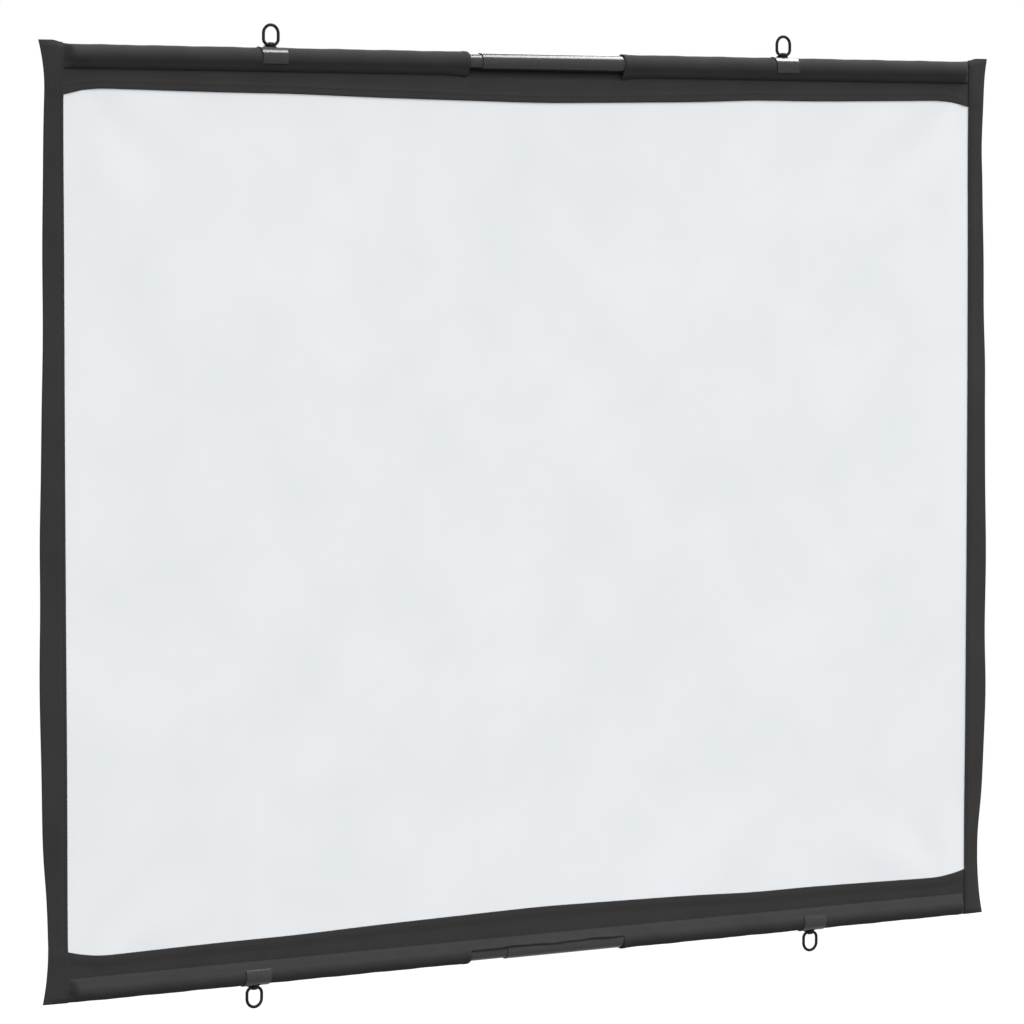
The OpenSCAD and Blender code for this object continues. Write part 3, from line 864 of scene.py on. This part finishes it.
def spindles(name, rows):
    """One object with a spindle on each middle of each row's pieces. A row is a line of points."""
    sides = SPINDLE_SIDES
    turn = np.radians(np.arange(sides) * 360 / sides)
    points, faces = [], []
    for row in rows:
        for a, b in zip(row, row[1:]):
            along = (b - a) / np.linalg.norm(b - a)
            side = np.cross(along, OFF_ROW)
            side = side / np.linalg.norm(side)
            lift = np.cross(side, along)
            middle = (a + b) / 2
            start = len(points)
            points.append(middle - along * STITCH_L / 2)
            for place, share in SPINDLE_RINGS:
                for angle in turn:
                    outward = side * math.cos(angle) + lift * math.sin(angle)
                    points.append(middle + along * STITCH_L * place + outward * THREAD_R * share)
            tip = len(points)
            points.append(middle + along * STITCH_L / 2)
            for i in range(sides):
                j = (i + 1) % sides
                faces.append((start, start + 1 + j, start + 1 + i))
                for low in range(start + 1, tip - sides, sides):
                    faces.append((low + i, low + j, low + sides + j, low + sides + i))
                faces.append((tip, tip - sides + i, tip - sides + j))
    mapped = [(p[0], p[2], p[1]) for p in points]
    return mesh_piece(name, points, faces, black_thread, mapped)


def stitch_places(low, high):
    """Ends of the stitches of a straight row from low to high."""
    return stations([low, high], [STITCH_L + STITCH_GAP])


def band_rows(band):
    x = stitch_places(-HALF_W + BAND_ROW_END, HALF_W - BAND_ROW_END)
    width = band.depth(x) - POCKET_H
    rows = []
    for face in (-1, 1):
        rows.append(band.web(x, np.full_like(x, EDGE_STITCH), EDGE_STITCH_OFF + STITCH_LIFT, face))
        rows.append(band.web(x, width, STITCH_LIFT, face))
    return rows


def hem_rows(hem):
    t = stitch_places(HEM_ROW_END, SCREEN_H - HEM_ROW_END) / SCREEN_H
    d = np.full_like(t, HEM_STITCH)
    return [hem.ply(d, HEM_STITCH_OFF + STITCH_LIFT, t, face) for face in (-1, 1)]


for name, rows in (
    ("top_band_stitches", band_rows(top)), ("bottom_band_stitches", band_rows(bottom)),
    ("left_hem_stitches", hem_rows(hems["left_hem"])), ("right_hem_stitches", hem_rows(hems["right_hem"])),
):
    spindles(name, rows)
    print(name, sum(len(row) - 1 for row in rows), "stitches")

# %% [markdown]
# ## Spring clips
#
# A clip is pressed from spring steel 0.7 mm thick: a band that snaps round the pocket, and a neck whose
# tongue is rolled over the ring's wire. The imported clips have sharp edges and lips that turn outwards,
# which the photo doesn't show. So each clip is made anew from two strips that follow a line, with the
# small chamfer that deburred sheet steel has. The neck has the rings' duller lacquer, so that only the
# band round the pocket shines.

# %% Sizes of a clip, in millimetres and degrees
CLIP_T, CLIP_GAP, CLIP_CHAMFER = 0.7, 0.3, 0.12
# How far the clip wraps past the pole's widest place, and the number of points on that line.
CLIP_WRAP, WRAP_POINTS = 36.0, 57
# Half widths down the neck, the height of its sloping shoulders, and where the tongue is first narrow.
NECK_HALF, SHOULDER_HALF, TONGUE_HALF = 7.5, 5.5, 2.3
SHOULDER_DROP = 0.65
TONGUE_START = 0.3
# How far the tongue is rolled round the wire, the number of points on the roll, and its gap.
ROLL_END, ROLL_POINTS, ROLL_GAP = 282.0, 29, 0.05
# Thickness of the lacquer on the rings' wire.
LACQUER = 0.28
# Points round a strip's section, and the angle from which an edge is drawn sharp.
RIM_POINTS = 8
SHARP_FROM = 30
ring_low, ring_high = box_mm("top_left_ring")
WIRE_R = (ring_high[1] - ring_low[1]) / 2
RING_AXIS = ring_low[2] + WIRE_R - TOP_Z
CLIP_R = POCKET_R + CLIP_GAP + CLIP_T
ROLL_R = WIRE_R + LACQUER + ROLL_GAP + CLIP_T / 2
print(f"clip {CLIP_R:.2f} mm round the pole, ring's wire {2 * WIRE_R:.1f} mm thick")

# %% Build a clip


def strip_rim(half, stand, chamfer):
    """Section of a strip of sheet: eight pairs of a place across it and a height off its middle."""
    corner = [(half - chamfer, stand), (half, stand - chamfer)]
    right = corner + [(x, -off) for x, off in reversed(corner)]
    return np.array(right + [(-x, off) for x, off in reversed(right)])


def pressed_strip(line, halves):
    """Points and faces of a strip of sheet along a line of (y, h), with its half width at each point."""
    line = np.asarray(line, float)
    along = np.gradient(line, axis=0)
    along = along / np.linalg.norm(along, axis=1)[:, None]
    thick, cut = CLIP_T / 2, CLIP_CHAMFER
    rings = [(line[0], along[0], strip_rim(halves[0] - cut, thick - cut, cut / 2))]
    for i, half in enumerate(halves):
        inset = cut * ((i == 0) - (i == len(halves) - 1))
        rings.append((line[i] + along[i] * inset, along[i], strip_rim(half, thick, cut)))
    rings.append((line[-1], along[-1], strip_rim(halves[-1] - cut, thick - cut, cut / 2)))
    points = [(x, at[0] + way[1] * off, at[1] - way[0] * off) for at, way, rim in rings for x, off in rim]
    end = len(points) - RIM_POINTS
    faces = [tuple(range(RIM_POINTS)), tuple(range(end, len(points)))]
    for here in range(0, end, RIM_POINTS):
        there = here + RIM_POINTS
        for j in range(RIM_POINTS):
            k = (j + 1) % RIM_POINTS
            faces.append((here + j, here + k, there + k, there + j))
    return points, faces


def spring_clip(node, level, up):
    """A clip round the pole at that height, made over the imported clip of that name."""
    low, high = box_mm(node)
    turn = np.radians(np.linspace(-CLIP_WRAP, 180 + CLIP_WRAP, WRAP_POINTS))
    middle_r = CLIP_R - CLIP_T / 2
    band_line = np.stack([-middle_r * np.cos(turn), middle_r * np.sin(turn)], axis=1)
    parts = [pressed_strip(band_line, [(high[0] - low[0]) / 2] * len(turn))]
    bend, shoulder = CLIP_R + SHOULDER_DROP / 2, RING_AXIS - SHOULDER_DROP
    roll = np.radians(np.linspace(0, ROLL_END, ROLL_POINTS))
    neck_line = [(ROLL_R, h) for h in (middle_r, bend, shoulder, shoulder + TONGUE_START)]
    neck_line += [(ROLL_R * math.cos(a), RING_AXIS + ROLL_R * math.sin(a)) for a in roll]
    halves = [NECK_HALF, NECK_HALF, SHOULDER_HALF] + [TONGUE_HALF] * (1 + ROLL_POINTS)
    parts.append(pressed_strip(neck_line, halves))
    points, faces = [], []
    for part_points, part_faces in parts:
        start = len(points)
        points += [((low[0] + high[0]) / 2 + x, y, level + up * h) for x, y, h in part_points]
        faces += [tuple(start + i for i in face) for face in part_faces]
    piece = mesh_piece(node + "_steel", points, faces, clip_paint, points, node)
    piece.data.materials.append(ring_paint)
    for polygon in piece.data.polygons[len(parts[0][1]):]:
        polygon.material_index = 1
    work = bmesh.new()
    work.from_mesh(piece.data)
    bmesh.ops.recalc_face_normals(work, faces=work.faces)
    work.to_mesh(piece.data)
    work.free()
    piece.data.set_sharp_from_angle(angle=math.radians(SHARP_FROM))
    return piece


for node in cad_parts:
    if node.endswith("_clip"):
        at_top = node.startswith("top")
        piece = spring_clip(node, TOP_Z if at_top else BOTTOM_Z, 1 if at_top else -1)
        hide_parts(node)
        print(piece.name, len(piece.data.polygons), "faces")

# %% [markdown]
# ## Finishes of the poles, rings and plugs
#
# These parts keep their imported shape. The rings' wire looks a little fatter in the photo than the packed
# wire, so a displace modifier lays a film of lacquer on it.

# %% Poles, rings and plugs
FINISH = {"pole": tube_paint, "ring": ring_paint, "plug": plug_plastic}

for name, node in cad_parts.items():
    finish = FINISH.get(name.rsplit("_", 1)[-1])
    if finish is None:
        continue
    node.data.materials.clear()
    node.data.materials.append(finish)
    if name.endswith("_ring"):
        film = node.modifiers.new("lacquer", "DISPLACE")
        film.mid_level = 0.0
        film.strength = LACQUER * MM
    print(name, "in", finish.name)

# %% [markdown]
# ## Light
#
# A long strip softbox, overhead and to the right, draws the bright line along the tube and the clips. It
# stands nearly in the cloth's own plane, so it only grazes the cloth. A very soft lamp in front, above
# and to the left, gives the cloth most of its light, and one behind lights the back for other views. The
# rest comes from all round, and least from below, so that the pockets' undersides are dark.

# %% Lamps
# Directions are as seen from the screen: x to the right, y to the wall and z up. The strip's distance,
# length and width are in metres.
STRIP_TOWARDS = Vector((0.558, -0.151, 0.816)).normalized()
STRIP_AWAY, STRIP_L, STRIP_W = 24.0, 27.7, 3.6
STRIP_POWER = 8460.0
# The fills: name, strength and direction. Their light comes from a disc as wide as this many degrees.
FILLS = (("front fill", 1.94, (-0.35, -0.82, 0.38)), ("back fill", 2.3, (0.35, 0.88, 0.28)))
FILL_SPREAD = 60


def pointing(name, data, towards):
    """A lamp that shines on the screen from the direction towards."""
    lamp = new_object(name, data)
    lamp.rotation_euler = Vector(towards).to_track_quat("Z", "Y").to_euler()
    return lamp


strip_data = bpy.data.lights.new("strip softbox", "AREA")
strip_data.shape = "RECTANGLE"
strip_data.size = STRIP_L
strip_data.size_y = STRIP_W
strip_data.energy = STRIP_POWER
strip = pointing("strip softbox", strip_data, STRIP_TOWARDS)
strip.location = Vector((0, 0, (TOP_Z + BOTTOM_Z) / 2 * MM)) + STRIP_TOWARDS * STRIP_AWAY

for name, strength, towards in FILLS:
    fill_data = bpy.data.lights.new(name, "SUN")
    fill_data.energy = strength
    fill_data.angle = math.radians(FILL_SPREAD)
    pointing(name, fill_data, towards)
print("strip softbox at", [round(c, 2) for c in strip.location])

# %% [markdown]
# ## World and floor
#
# The photo's background is plain white. So the world and the floor are white where they are seen directly
# or in a mirror, which the Light Path node tells, and dimmer where they only give light. That keeps the
# background from lighting the screen. A small share of the floor's white is matt, so it shows a shadow.

# %% World
WHITE = (1, 1, 1, 1)


def seen_directly(tree):
    """1 for rays from the camera, or that a mirror or glass passes on."""
    path = add(tree, "LightPath")
    both = add(tree, "Math", {0: path.outputs["Is Camera Ray"], 1: path.outputs["Is Glossy Ray"]},
               operation="MAXIMUM")
    return add(tree, "Math", {0: both.outputs[0], 1: path.outputs["Is Transmission Ray"]},
               operation="MAXIMUM").outputs[0]


world = bpy.data.worlds.new("white studio")
bpy.context.scene.world = world
world.use_nodes = True
sky = world.node_tree
sky.nodes.clear()
towards = add(sky, "TexCoord").outputs["Generated"]
height = add(sky, "SeparateXYZ", {"Vector": towards}).outputs["Z"]
soft = add(sky, "MapRange", {
    "Value": height, "From Min": -0.1, "From Max": 0.5, "To Min": 0.05, "To Max": 0.4})
backdrop = add(sky, "MixRGB", {
    "Fac": seen_directly(sky), "Color1": soft.outputs["Result"], "Color2": WHITE})
around = add(sky, "Background", {"Color": backdrop.outputs["Color"], "Strength": 1.0})
add(sky, "OutputWorld", {"Surface": around.outputs[0]})
print("world:", world.name)

# %% Floor
# Height and half width in metres, the share of the white that is matt, and the grey that other rays meet.
FLOOR_Z, FLOOR_HALF = -1.9, 6
FLOOR_MATT = 0.15
FLOOR_DARK = (0.08, 0.08, 0.08, 1)

floor_mesh = bpy.data.meshes.new("floor")
corners = [(x * FLOOR_HALF, y * FLOOR_HALF, FLOOR_Z) for x, y in ((-1, -1), (1, -1), (1, 1), (-1, 1))]
floor_mesh.from_pydata(corners, [], [(0, 1, 2, 3)])
floor = new_object("floor", floor_mesh)
made, tree = new_material("pale_studio_floor", "#FFFFFF")
glow = add(tree, "Emission", {"Color": WHITE, "Strength": 1.0})
matt = add(tree, "BsdfDiffuse", {"Color": WHITE})
dark = add(tree, "BsdfDiffuse", {"Color": FLOOR_DARK})
pale = add(tree, "MixShader", {"Fac": FLOOR_MATT, 1: glow.outputs[0], 2: matt.outputs[0]})
both = add(tree, "MixShader", {"Fac": seen_directly(tree), 1: dark.outputs[0], 2: pale.outputs[0]})
add(tree, "OutputMaterial", {"Surface": both.outputs[0]})
floor_mesh.materials.append(made)
print("floor", 2 * FLOOR_HALF, "m wide, at", FLOOR_Z, "m")

bpy.context.scene.view_settings.view_transform = "Standard"
